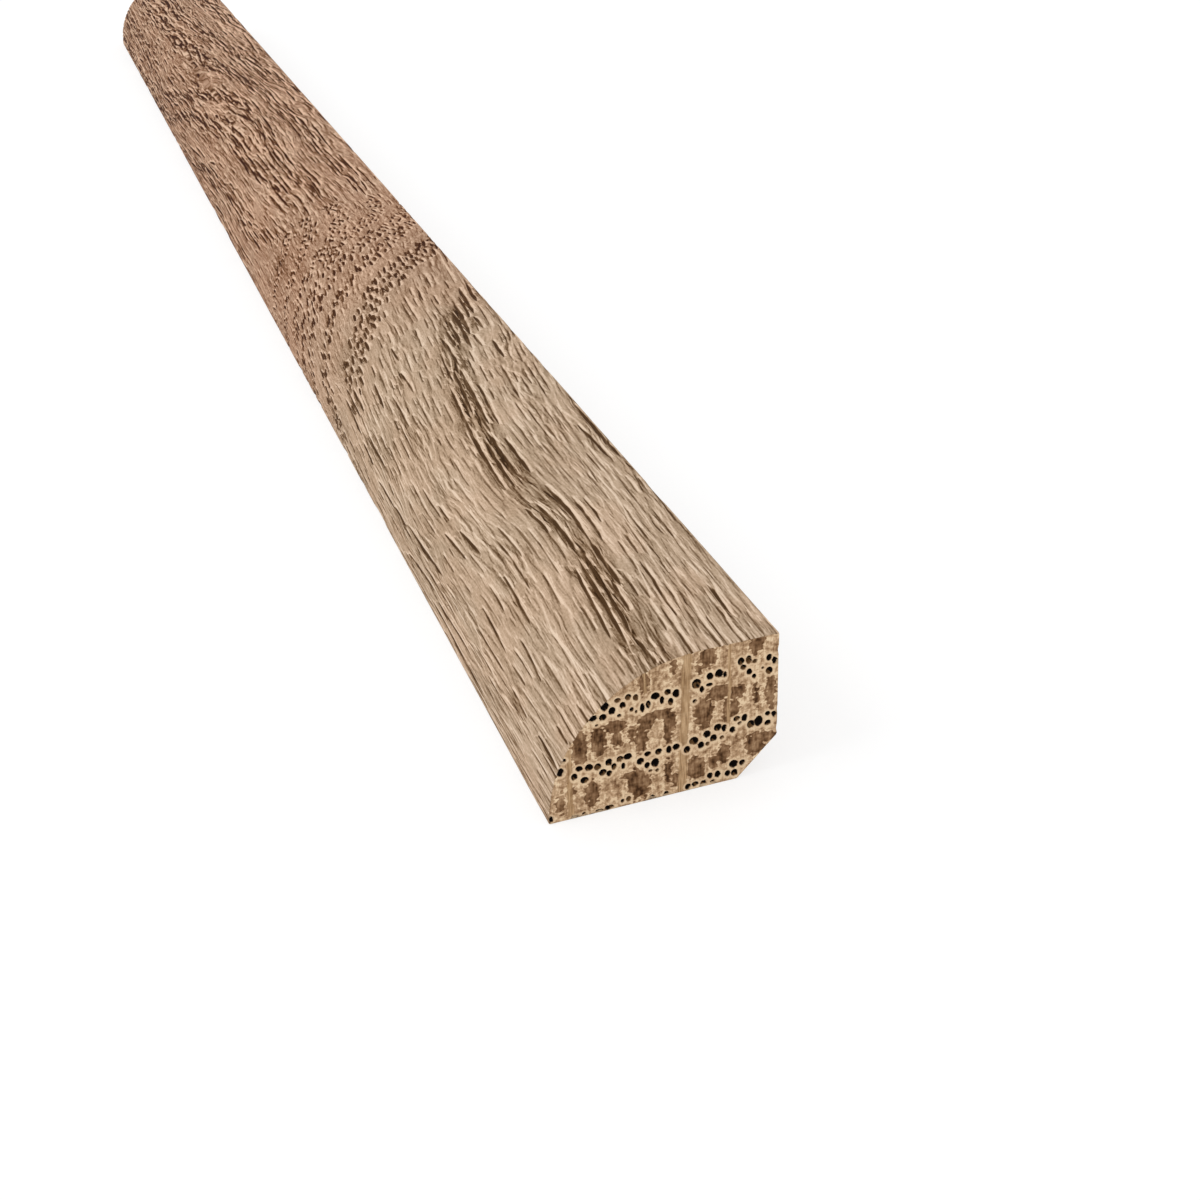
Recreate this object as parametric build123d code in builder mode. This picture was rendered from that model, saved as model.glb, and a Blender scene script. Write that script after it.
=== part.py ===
"""Shoe moulding: one short, square-cut length of solid oak trim.

The section is the usual one for a base shoe. Its nose is a quarter circle as high as the strip,
which rises plumb from the toe and runs level into a narrow flat top. The back is upright. The
heel, which is the lower corner at the back, is chamfered so that the strip seats tight in the
corner between a floor and a skirting board. The strip lies on its wide face.

Lengths are in millimetres. The origin is on the floor, at the middle of the strip's bounding box.
X runs along the strip, Y goes from the toe to the back, and Z is up.
"""

import os

from build123d import *

# Driving dimensions
length = 304.8  # from one square-cut end to the other, 12 in
width = 19.05  # from the toe to the back, 3/4 in
height = 12.7  # from the floor to the flat top, 1/2 in
heel_chamfer = 3.4  # each leg of the 45 degree chamfer

# Worked out from them
nose_radius = height  # plumb at the toe and level at the top, so as high as the strip
toe_y = -width / 2
back_y = width / 2

# Corners of the section, as (Y, Z)
nose_centre = (toe_y + nose_radius, height - nose_radius)
top_arris = (back_y, height)
back_foot = (back_y, heel_chamfer)
bed_edge = (back_y - heel_chamfer, 0)

with BuildPart() as shoe_moulding:
    with BuildSketch(Plane.YZ.offset(-length / 2)):
        with BuildLine():
            nose = CenterArc(nose_centre, nose_radius, start_angle=90, arc_size=90)
            Polyline(nose @ 0, top_arris, back_foot, bed_edge, nose @ 1)
        make_face()
    extrude(amount=length)

shoe_moulding.part.label = "shoe_moulding"

os.makedirs("parts", exist_ok=True)
export_step(shoe_moulding.part, "parts/shoe_moulding.step")
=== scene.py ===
"""The looks of one length of oak shoe moulding, wire-brushed and stained, on a pale studio floor.

The strip is one closed mesh: its section carried along its length, with two end caps. Brushed
grooves and open pores are cut inwards, so the strip fills the CAD solid's box and never leaves it.
Growth lines, drawn as a few points each, say where grooves gather and which way they run. The mesh
is too coarse for the finest grain, which is colour and bump in the two finishes: brushed_face for
the long surfaces and end_grain for the ends.

Lengths are in metres in the row frame. On the surface they are in millimetres: "along" runs from
the near end towards the far one, and "round" starts at the top arris and goes over the flat top
and down the nose to the toe, then along the bed, up the heel chamfer and up the back.
"""

import math
import bpy
import numpy as np
from mathutils import Matrix, Vector
from mathutils.geometry import delaunay_2d_cdt


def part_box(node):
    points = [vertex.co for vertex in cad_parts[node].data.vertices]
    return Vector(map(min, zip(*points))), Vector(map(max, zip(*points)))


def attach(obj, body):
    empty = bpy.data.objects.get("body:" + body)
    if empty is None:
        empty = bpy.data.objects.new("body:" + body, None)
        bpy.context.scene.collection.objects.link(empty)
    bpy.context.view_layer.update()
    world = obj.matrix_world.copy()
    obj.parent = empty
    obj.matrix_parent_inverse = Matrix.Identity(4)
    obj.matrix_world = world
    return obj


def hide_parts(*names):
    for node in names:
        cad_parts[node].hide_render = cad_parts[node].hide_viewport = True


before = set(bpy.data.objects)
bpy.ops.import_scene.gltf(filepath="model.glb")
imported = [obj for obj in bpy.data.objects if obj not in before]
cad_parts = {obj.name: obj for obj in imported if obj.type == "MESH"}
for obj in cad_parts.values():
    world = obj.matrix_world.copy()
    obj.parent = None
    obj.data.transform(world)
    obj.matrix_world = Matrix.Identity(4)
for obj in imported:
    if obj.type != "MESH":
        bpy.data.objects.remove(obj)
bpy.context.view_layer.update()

MM = 0.001

# The strip, as the CAD solid has it, in millimetres
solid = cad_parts["shoe_moulding"]
low, high = (np.array(corner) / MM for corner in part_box("shoe_moulding"))
strip_length, strip_width, strip_height = high - low
corners = np.array([solid.matrix_world @ v.co for v in solid.data.vertices]) / MM
at_the_back = corners[:, 1] > high[1] - 0.01
heel_chamfer = corners[at_the_back, 2].min()
nose_radius = strip_height
nose_middle = low[1] + nose_radius  # Y of the line that the nose turns about, which is on the bed

# How far round the section each stretch goes
flat_run = strip_width - nose_radius
nose_run = nose_radius * math.pi / 2
bed_run = strip_width - heel_chamfer
heel_run = heel_chamfer * math.sqrt(2)
back_run = strip_height - heel_chamfer
toe = flat_run + nose_run  # round the section from the top arris, and so are these
heel = toe + bed_run
foot = heel + heel_run  # of the back, where the chamfer ends
girth = foot + back_run

# Cells of the mesh
skin_cell = 0.165
back_cell = 0.45
heel_cell = 0.8
bed_cell = 1.6
near_station = 0.80
swirl_station = 0.34
far_station = 1.25
soft_edge = 0.12  # the strip's edges are eased over this width
ease = 0.035  # and the edge itself is taken back by this much
near_net = 0.18
far_net = 0.30

random = np.random.default_rng(1937)


# Growth lines on the brushed face, each as (along, round) points, in millimetres. A line that is
# still beyond the toe, or already past the arris, has points outside the face to keep its turn.
growth_lines = [
    [(0, 2.2), (25, 1.4), (45, 0.2), (60, -3), (90, -14), (305, -60)],
    [(0, 5.2), (20, 4.3), (50, 4.2), (64, 2.4), (74, -2), (100, -12), (305, -55)],
    [(0, 9.8), (9, 9.4), (19, 8.9), (25, 8.9), (33, 10.2), (46, 10.2), (60, 8.7), (69, 6.6), (77, 4.0),
     (84, 1.0), (90, -4), (105, -10), (305, -50)],
    [(0, 15.5), (24, 15.2), (40, 16.2), (60, 15.5), (72, 13.5), (80, 9.5), (87, 5), (93, 0.5), (99, -3),
     (120, -9), (305, -45)],
    [(0, 21.6), (30, 22.4), (45, 22.7), (56, 20.9), (67, 20.1), (75, 19), (81, 14.6), (87, 11.2), (92, 8),
     (96, 4.4), (100, 1), (105, -3), (120, -7.5), (305, -40)],
    [(0, 26), (60, 27), (72, 25.2), (84, 23), (91, 17), (98, 10), (104, 5.4), (109, 1.8), (114, -2),
     (122, -5.5), (200, -5), (240, -1.4), (252, 1.2), (270, 3), (305, 4.2)],
    [(0, 30), (76, 30), (85, 28), (92.5, 23.4), (98, 16.4), (103, 10.4), (110, 4.2), (115, 0.6),
     (121, -1.8), (150, -2), (185, -0.6), (197, 1.6), (212, 4.4), (235, 6.8), (262, 9.4), (305, 9.8)],
    [(0, 34), (86, 34), (94, 26.6), (100, 19), (105, 13.4), (111, 8), (115, 4.8), (119, 3), (125, 2.8),
     (147, 4.3), (165, 4), (190, 5.4), (210, 9), (235, 12.2), (262, 13.4), (305, 14.5)],
    [(0, 38), (94, 34), (100, 25), (105, 19.6), (108, 14.4), (112.5, 9.9), (118, 8.5), (126, 8.9),
     (147, 10.5), (170, 10), (187, 10.4), (200, 13.6), (215, 18.2), (233, 22.6), (262, 20.4), (305, 19.5)],
    [(0, 42), (103, 31), (109.5, 22), (112.5, 16.9), (115.4, 13.7), (120, 12.7), (137, 12.9), (160, 13.6),
     (173, 14.2), (187, 16), (210, 20.2), (225, 24.4), (262, 25.6), (305, 25)],
    [(0, 46), (112, 31), (116, 24), (119, 17.4), (122, 15.4), (126, 17), (131, 19), (137.5, 20.6),
     (160, 20.9), (187, 22.8), (205, 26), (230, 32), (305, 34)],
    [(0, 50), (118, 33), (131, 26.4), (160, 25.6), (190, 29), (230, 38), (305, 40)],
]

# Stretches of the figure along the strip: where each starts, is full, begins to end and is over
swirl_stretch = (70, 78, 120, 126)
crossing_stretch = (72, 82, 118, 130)  # here the fibres cross the growth lines
leaning_stretch = (76, 86, 100, 112)  # and here they lean
arched_stretch = (186, 194, 238, 248)
past_swirl = (118, 126)


def smooth_step(value, start, end):
    """0 before start, 1 after end and an eased ramp between: 3t^2 - 2t^3. start may be the larger one."""
    t = np.clip((value - start) / (end - start), 0, 1)
    return t * t * (3 - 2 * t)


def between(value, start, full, ending, end):
    """0 up to start and from end on, 1 from full to ending, and an eased ramp on either side."""
    return smooth_step(value, start, full) * smooth_step(value, end, ending)


def soft_noise(a, b, cell_a, cell_b):
    """Smooth random hills from -1 to 1: eased blends between random numbers at the corners of cells."""
    a, b = a / cell_a, b / cell_b
    first_a, first_b = math.floor(a.min()), math.floor(b.min())
    size = (math.ceil(a.max()) - first_a + 2, math.ceil(b.max()) - first_b + 2)
    heights = random.uniform(-1, 1, size)
    i = np.floor(a).astype(int)
    j = np.floor(b).astype(int)
    ta = smooth_step(a - i, 0, 1)
    tb = smooth_step(b - j, 0, 1)
    i -= first_a
    j -= first_b
    near_side = heights[i, j] * (1 - ta) + heights[i + 1, j] * ta
    far_side = heights[i, j + 1] * (1 - ta) + heights[i + 1, j + 1] * ta
    return near_side * (1 - tb) + far_side * tb


def steps(start, end, cell):
    """Evenly spaced places from start up to but not including end, about a cell apart."""
    count = max(1, round((end - start) / cell))
    return start + (end - start) * np.arange(count) / count


def stretch(start, end, cell):
    """The same, with one narrow cell at each end, where the edge is eased."""
    middle = steps(start + soft_edge, end - soft_edge, cell)
    return np.concatenate([[start], middle, [end - soft_edge]])


def section_places():
    """Places round the section, one for each long line of the mesh."""
    return np.concatenate([
        stretch(0, toe, skin_cell),
        stretch(toe, heel, bed_cell),
        stretch(heel, foot, heel_cell),
        stretch(foot, girth, back_cell),
    ])


def section_point(s):
    """(Y, Z) and the outward (Y, Z) direction at the places s round the section.

    The flat and the back are straight, the nose is a circle about (nose_middle, bed), and the
    chamfer goes up at 45 degrees. At an edge the direction is halfway between its two sides.
    """
    angle = np.clip((s - flat_run) / nose_radius, 0, math.pi / 2)
    on_heel = (s - heel) / math.sqrt(2)
    parts = [s < flat_run, s < toe, s < heel, s < foot]
    y = np.select(parts, [
        high[1] - s,
        nose_middle - nose_radius * np.sin(angle),
        low[1] + s - toe,
        high[1] - heel_chamfer + on_heel,
    ], high[1])
    z = np.select(parts, [
        np.full_like(s, strip_height),
        nose_radius * np.cos(angle),
        np.zeros_like(s),
        on_heel,
    ], heel_chamfer + s - foot)
    half = math.sqrt(0.5)
    out_y = np.select(parts, [0 * s, -np.sin(angle), 0 * s, half + 0 * s], 1.0)
    out_z = np.select(parts, [1 + 0 * s, np.cos(angle), -1 + 0 * s, -half + 0 * s], 0.0)
    for place, before, after in (
        (0, (1, 0), (0, 1)),
        (toe, (-1, 0), (0, -1)),
        (heel, (0, -1), (half, -half)),
        (foot, (half, -half), (1, 0)),
    ):
        edge = np.isclose(s, place)
        halfway = np.add(before, after)
        out_y[edge], out_z[edge] = halfway / np.linalg.norm(halfway)
    return np.stack([y, z], -1), np.stack([out_y, out_z], -1)


def stations():
    """Places along the strip: closest together in the swirl of the figure, widest apart beyond it."""
    fine = np.linspace(0, strip_length, 4000)
    to_swirl = smooth_step(fine, 62, 76)
    from_swirl = smooth_step(fine, 120, 150)
    gap = near_station + (swirl_station - near_station) * to_swirl
    gap += (far_station - swirl_station) * from_swirl
    count = np.concatenate([[0], np.cumsum(np.diff(fine) / gap[:-1])])
    whole = round(count[-1])
    inner = np.interp(np.linspace(0, count[-1], whole + 1), count, fine)
    return np.concatenate([[0, soft_edge], inner[1:-1], [strip_length - soft_edge, strip_length]])


def lines_at(along):
    """Round place and slope of every growth line at each station: straight runs, evened out over 9 mm."""
    window = np.hanning(9) / np.hanning(9).sum()
    reach = len(window) // 2
    fine = np.arange(-reach, strip_length + reach + 1)
    rows = []
    for line in growth_lines:
        even = np.convolve(np.interp(fine, *np.transpose(line)), window, "same")
        rows.append((np.interp(along, fine, even), np.interp(along, fine, np.gradient(even))))
    return np.swapaxes(rows, 0, 1)


def growth(around, along):
    """At each point of the grid: distance to the nearest growth line, slope of the figure, and the line.

    The line is its number in the list, with fractions in between. The distance is measured square to it:
    the one round the section divided by the root of 1 + slope^2.
    """
    places, slopes = lines_at(along)
    stations_done = []
    for place, steepness in zip(places.T, slopes.T):
        line = np.interp(around, place, np.arange(len(place)))
        slope = np.interp(around, place, steepness)
        distance = (around - place[np.round(line).astype(int)]) / np.hypot(1, slope)
        stations_done.append((distance, slope, line))
    return np.stack(stations_done, -1)


# The grid of the strip's long surfaces
around = section_places()
along = stations()
S, A = np.meshgrid(around, along, indexing="ij")
on_face = S < toe


def figure():
    """The figure of the wood on the grid: distance to a growth line, that line, and the fibre's drift.

    Fibres follow the growth lines where those run along the strip, with a slope of
    limit * tanh(slope / limit), and cross them in the swirl, where they only lean a little. Drift is
    that slope added up along the strip, so a fibre keeps its value of round place minus drift.
    """
    near_limit = 0.10
    far_limit = 0.05
    limit_changes = 125
    limit = np.where(A < limit_changes, near_limit, far_limit)
    swirl_lean = -0.09
    distance, slope, line = growth(around, along)
    other = ~on_face
    first_line = toe + 2.5  # the hidden faces have nearly straight growth lines, line_gap apart
    line_gap = 5.2
    sway = 0.6 * np.sin(A / 31)
    straight_line = first_line + line_gap * np.round((S - first_line) / line_gap)
    distance[other] = (S - straight_line + sway)[other]
    slope[other] = 0
    line[other] = 0
    tilt = (1 - between(A, *crossing_stretch)) * limit * np.tanh(slope / limit)
    tilt += swirl_lean * between(A, *leaning_stretch)
    drift = np.zeros_like(tilt)
    drift[:, 1:] = np.cumsum((tilt[:, :-1] + tilt[:, 1:]) / 2 * np.diff(along), axis=1)
    wave = 0.10 + 0.08 * smooth_step(A, 110, 150)  # fibres waver more past the swirl
    drift += wave * (soft_noise(S, A, 3.2, 9.0) + 0.5 * soft_noise(S, A, 1.6, 4.0))
    return distance, line, drift


line_distance, line_place, drift = figure()
# The swirl is where dashes follow growth lines 4 and on, counted from 0
swirl = smooth_step(line_place, 3.3, 3.8) * between(A, *swirl_stretch) * on_face
beyond = smooth_step(A, *past_swirl)
gather_half = 1.6  # ridges gather this near to a growth line
near_line = np.exp(-((line_distance / gather_half) ** 2))
# Where arched bands of fine dashes follow growth lines 7 to 9, far along the strip
arched = between(A, *arched_stretch) * (line_place > 6.6) * (line_place < 9.4) * on_face


def index_at(places, value):
    """The number of the first grid line at or past each value, or of the last one there is."""
    return np.minimum(np.searchsorted(places, value), len(places) - 1)


def within(limits, share):
    """The value at that share of the way from the least to the most."""
    return limits[0] + share * (limits[1] - limits[0])


class Grooves:
    """The brushed grooves. The grid holds four numbers of the groove whose edge is nearest to each point.

    offset: how far the point is from the groove's middle line, positive on the side of the toe
    half: half the groove's width there, which goes below zero past its ends
    dark: how dark its line is painted, which also makes it deeper
    edge: how far its edge is, negative inside it
    """

    far_off = 0.8  # offset and edge where no groove is near
    least_half = -0.3
    margin = 0.9  # how far past its ends a groove is worked out
    reach = 0.65  # and how far to its sides

    def __init__(self):
        self.offset = np.full(S.shape, self.far_off)
        self.half = np.full(S.shape, self.least_half)
        self.dark = np.zeros(S.shape)
        self.edge = np.full(S.shape, self.far_off)

    def cut(self, start, end, first, last, half_width, dark, clearance=None):
        """One groove from (start, first) to (end, last), both as (along, round), in line with the fibre.

        Between its ends it wanders off the straight line as the drift there does. Half its width is
        half_width * (1 - |t|^4), where t runs from -1 to 1 along it. With a clearance, it is left
        out if it comes nearer than that to a groove that is there already.
        """
        j0, j1 = np.searchsorted(along, [start - self.margin, end + self.margin])
        here = along[j0:j1]
        if len(here) < 2:
            return
        wander = drift[index_at(around, (first + last) / 2)]
        at_start, at_end = np.interp([start, end], along, wander)
        share = (here - start) / (end - start)
        path = first + (last - first) * share + wander[j0:j1] - at_start - (at_end - at_start) * share
        if clearance is not None:
            close = (here > start - clearance) & (here < end + clearance)
            rows = index_at(around, path[close])
            if (self.edge[rows, np.flatnonzero(close) + j0] < clearance + half_width).any():
                return
        beside = half_width + self.reach
        i0, i1 = np.searchsorted(around, [path.min() - beside, path.max() + beside])
        t = 2 * share - 1
        half = np.maximum(half_width * (1 - t ** 4), self.least_half)
        offset = around[i0:i1, None] - path
        past_end = np.maximum(np.abs(t) - 1, 0) * (end - start) / 2
        edge = np.hypot(offset, past_end) - np.maximum(half, 0)
        spot = (slice(i0, i1), slice(j0, j1))
        nearer = edge < self.edge[spot]
        for kept, own in ((self.edge, edge), (self.offset, offset), (self.half, half), (self.dark, dark)):
            kept[spot] = np.where(nearer, own, kept[spot])

    def scatter(self, tries, where, chance, length, half_width, dark, clearance, lean=(0.0, 0.0)):
        """Many grooves at random places, each kept by the chance at its place; sizes are (least, most).

        where says which part they are in, as (from, to) along the strip and then (from, to) round it.
        They run with the fibre, and lean from it towards the toe by lean millimetres for each millimetre.
        """
        middle = random.uniform(where[0], where[1], tries)
        place = random.uniform(where[2], where[3], tries)
        i = index_at(around, place)
        keep = random.random(tries) < chance[i, index_at(along, middle)]
        size = random.random((4, tries))
        for n in np.flatnonzero(keep):
            run = within(length, size[0, n] ** 1.5)
            wide = within(half_width, size[1, n])
            deep = within(dark, size[2, n])
            start, end = middle[n] - run / 2, middle[n] + run / 2
            before, at, after = np.interp([start, middle[n], end], along, drift[i[n]])
            turn = within(lean, size[3, n]) * run / 2
            first, last = place[n] + before - at - turn, place[n] + after - at + turn
            self.cut(start, end, first, last, wide, deep, clearance)


# The grooves that show most, each as (start, end, first, last, half width), where start and end are
# along the strip, and first and last are round it
strong_grooves = [
    # The dark streak from the near end to the arris
    (3.9, 18, 10.9, 10.05, 0.15), (5.5, 17, 11.7, 10.75, 0.13), (5, 18.3, 10.15, 9.4, 0.13),
    (7.8, 13, 9.15, 8.9, 0.12), (11.8, 19.6, 8.45, 8.3, 0.19), (0.2, 4.2, 9.9, 10.1, 0.13),
    (19.7, 31.5, 8.3, 8.5, 0.18), (18.9, 29, 9.75, 10.2, 0.14), (23.4, 29.2, 10.75, 11.2, 0.15),
    (19, 28.3, 7.3, 7.15, 0.13), (22, 27.5, 6.3, 6.2, 0.09), (34.2, 42.9, 8.8, 8.8, 0.13),
    (34.4, 45, 9.95, 9.85, 0.12), (32.8, 44, 10.75, 10.5, 0.11), (33.2, 57.5, 11.6, 10.2, 0.13),
    (45.3, 55.8, 8.45, 7.55, 0.11), (46, 60.6, 9.25, 8.1, 0.13), (49.5, 60.6, 9.95, 8.85, 0.12),
    (61, 69.3, 8, 7.7, 0.11), (66.4, 71, 6.95, 6.7, 0.15), (66.8, 74, 6.2, 5.7, 0.13),
    (64.8, 76.7, 5.5, 4.6, 0.17), (69, 79, 4.6, 3.65, 0.18), (65.3, 69, 4.3, 4.2, 0.15),
    (61, 66.7, 3.05, 2.8, 0.13), (70.3, 74.2, 2.7, 2.65, 0.15), (74, 81, 3.2, 2.5, 0.15),
    (75, 84, 2.4, 1.7, 0.18), (78.6, 84.6, 1.05, 0.55, 0.2), (50, 59.8, 4.8, 4, 0.12),
    # Beside the arris, and down the nose
    (33.5, 47, 0.35, 0.3, 0.17), (33.7, 42.3, 1.25, 1.6, 0.13), (5, 15, 6.2, 5.7, 0.11),
    (4, 9, 2.3, 2.15, 0.12), (14.2, 23, 16.4, 16.1, 0.12), (8, 14.5, 18.3, 17.9, 0.11),
    (28, 34, 16.8, 17.4, 0.12), (29.6, 36.2, 18.3, 18.9, 0.12), (15, 23, 19.8, 19.5, 0.11),
    (0, 5.2, 21.4, 21.3, 0.13), (0.2, 3.2, 19.2, 19.2, 0.12), (7.4, 12, 21.5, 21.2, 0.12),
    (32.4, 45, 21.7, 22.3, 0.15), (45.2, 50, 22.7, 22.75, 0.13), (33.8, 43.6, 23.8, 24.7, 0.13),
    (21.5, 33, 23.8, 24.3, 0.12), (17.3, 34.6, 25.2, 25.1, 0.11), (55.5, 64, 16, 15.75, 0.12),
    (63.3, 69.6, 17.3, 16.7, 0.14), (60.5, 66.7, 13.6, 13.6, 0.11), (68.8, 73, 13, 12.95, 0.12),
    (55.8, 64, 21.1, 20.8, 0.15), (59.5, 65, 22.4, 22, 0.14), (64.8, 74.8, 21.8, 20.95, 0.14),
    (67.8, 73.7, 19.6, 19.35, 0.15), (67.8, 75.8, 20.45, 20.1, 0.12), (50, 57, 22.9, 23, 0.11),
    # Past the swirl, from the arris down the nose
    (126.6, 132.4, 2.7, 2.4, 0.15), (133.5, 147, 2.2, 2.5, 0.16), (147.3, 168, 2.75, 2.5, 0.14),
    (126.6, 134.8, 4, 4.1, 0.17), (134.9, 147, 4.2, 4.5, 0.14), (147.1, 156, 4.95, 4.85, 0.14),
    (155, 163, 3.8, 3.85, 0.12), (167, 174.4, 4.5, 4.5, 0.15), (181, 189.5, 2.2, 2.2, 0.16),
    (171.5, 176.6, 2.85, 2.8, 0.14), (177.7, 182.6, 4, 4, 0.17), (143, 147.5, 5.8, 5.9, 0.12),
    (143.4, 147.3, 6.4, 6.45, 0.12), (126.6, 138.7, 8.9, 8.85, 0.17), (135.3, 140.2, 10.1, 10.1, 0.18),
    (140.5, 149.3, 10.5, 10.55, 0.2), (144, 161.4, 9.4, 9.5, 0.19), (149.5, 155.4, 10.7, 10.7, 0.22),
    (161, 165.2, 9.2, 9.1, 0.15), (162.4, 169.5, 10.5, 10.6, 0.15), (165, 175, 8.9, 8.8, 0.16),
    (168.5, 175.5, 10, 9.7, 0.18), (176, 187, 8.6, 8.55, 0.16), (179.5, 187, 9.7, 9.7, 0.18),
    (134.4, 148, 12.5, 12.9, 0.16), (137.4, 142.4, 13.25, 13.4, 0.2), (144, 152.8, 13.95, 14.5, 0.19),
    (145.7, 162.5, 14.9, 15.1, 0.19), (152.5, 173.5, 15.65, 15.65, 0.17), (161.6, 175.8, 14.2, 14.6, 0.21),
    (168, 179, 13.2, 13.8, 0.17), (180.4, 184.8, 13.8, 13.85, 0.22), (187, 190.5, 14.9, 15, 0.24),
    (191.6, 196.2, 16.4, 16.3, 0.18), (138.7, 144.9, 18.85, 19.2, 0.19), (138.4, 142.3, 19.7, 20, 0.16),
    (142, 146.4, 20.75, 21.1, 0.17), (152.5, 161.3, 21, 21, 0.17), (145.5, 151, 21.6, 21.4, 0.15),
    (173.3, 177.6, 19.8, 20.5, 0.2), (173.4, 184.5, 21.5, 22.4, 0.18), (184.8, 197, 21.7, 22.9, 0.18),
    (185.5, 194.5, 24, 25, 0.16), (201.6, 207.9, 2.4, 2.6, 0.2), (219.5, 240, 1.65, 1.2, 0.18),
    (216.5, 221.2, 5.5, 5.05, 0.17), (212, 216.8, 7.4, 7.4, 0.16), (212.2, 216.6, 8.9, 8.8, 0.17),
    (224.3, 234.2, 11.6, 11.1, 0.2), (229.4, 240.3, 12.85, 12.3, 0.19), (220.5, 229.6, 16.4, 16.5, 0.17),
    (226.6, 236.2, 18.8, 18.7, 0.18), (219, 225.2, 21.6, 21.7, 0.2), (216, 221.5, 20.1, 20.9, 0.17),
    (247.5, 254.3, 8.4, 8.5, 0.18), (256, 266.5, 8.7, 9.7, 0.19), (244, 255.4, 13.7, 13.7, 0.18),
    (240, 246.5, 17.6, 17.5, 0.16), (247, 254, 19.2, 19.4, 0.2), (277.4, 284, 20.5, 20.2, 0.2),
    (266, 272.8, 22.4, 23.2, 0.18), (251.5, 264.6, 2.6, 2.7, 0.17), (271, 276.5, 15.7, 15.6, 0.18),
]


def dash_bands():
    """1 inside the bands of dashes, which follow the growth lines through the swirl, falling as exp(-r^6).

    r is the distance to the line divided by half the band's width, and one line has a wider band.
    """
    wide_line = 4
    half_band = np.where(np.round(line_place) == wide_line, 2.0, 1.0)
    return np.exp(-((line_distance / half_band) ** 6)) * swirl


def brush():
    """All grooves of the long surfaces: the strong ones first, then the others wherever there is room."""
    grooves = Grooves()
    in_streak = 1.15  # times the width that the list gives
    past_the_swirl = 0.85
    darkest = 1.0
    for start, end, first, last, half_width in strong_grooves:
        if 30 < start < 80 and 2 < first < 12.2:
            half_width *= in_streak
        elif start > 122:
            half_width *= past_the_swirl
        grooves.cut(start, end, first, last, half_width, darkest)
    before_swirl = (52, 86, 0, toe)
    swirl_part = (70, 128, 0, toe)
    near_part = (0, 128, 0, toe)
    middle_part = (118, 215, 0, toe)
    far_part = (200, strip_length, 0, toe)
    back_part = (0, strip_length, foot, girth)
    plain = 1 - swirl
    near = 1 - beyond
    dash_band = dash_bands()
    aligned = smooth_step(A, 106, 98)
    turned = smooth_step(A, 98, 106) * (1 - 0.5 * smooth_step(A, 108, 116))  # dashes point every way here
    calm_plain = plain * (1 - 0.7 * arched)
    half_band = 1.25
    band = np.exp(-((line_distance / half_band) ** 2))
    calm = 0.12 + 0.88 * band
    # Each as (tries, part, chance, length, half width, darkness, clearance, lean)
    kinds = [
        (16000, swirl_part, dash_band * aligned, (1.4, 2.8), (0.13, 0.19), (0.95, 1), 0.12, (-0.12, 0.06)),
        (20000, swirl_part, dash_band * turned, (0.9, 1.7), (0.12, 0.17), (0.95, 1), 0.14, (-0.5, 0.3)),
        (3000, swirl_part, swirl, (1.2, 4), (0.05, 0.09), (0.3, 0.7), 0.35, (-0.1, 0.1)),
        (9000, middle_part, calm_plain * beyond * band ** 2, (5, 16), (0.10, 0.15), (0.85, 1), 0.20),
        (12000, far_part, calm_plain * band ** 2, (3.5, 9), (0.15, 0.20), (0.9, 1), 0.24),
        (6000, middle_part, calm_plain * beyond * calm, (2, 8), (0.07, 0.11), (0.5, 0.9), 0.28),
        (7000, far_part, calm_plain * calm, (2.5, 7), (0.11, 0.15), (0.6, 1), 0.30),
        (2000, before_swirl, calm_plain, (3, 10), (0.06, 0.09), (0.6, 1), 0.32),
        (1500, near_part, calm_plain * near, (4, 11), (0.06, 0.09), (0.5, 0.95), 0.40),
        (4000, near_part, calm_plain * near, (2, 7), (0.04, 0.07), (0.3, 0.8), 0.30),
        (5000, back_part, calm_plain, (3, 12), (0.07, 0.11), (0.3, 0.8), 0.32),
    ]
    for kind in kinds:
        grooves.scatter(*kind)
    return grooves


grooves = brush()


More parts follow.
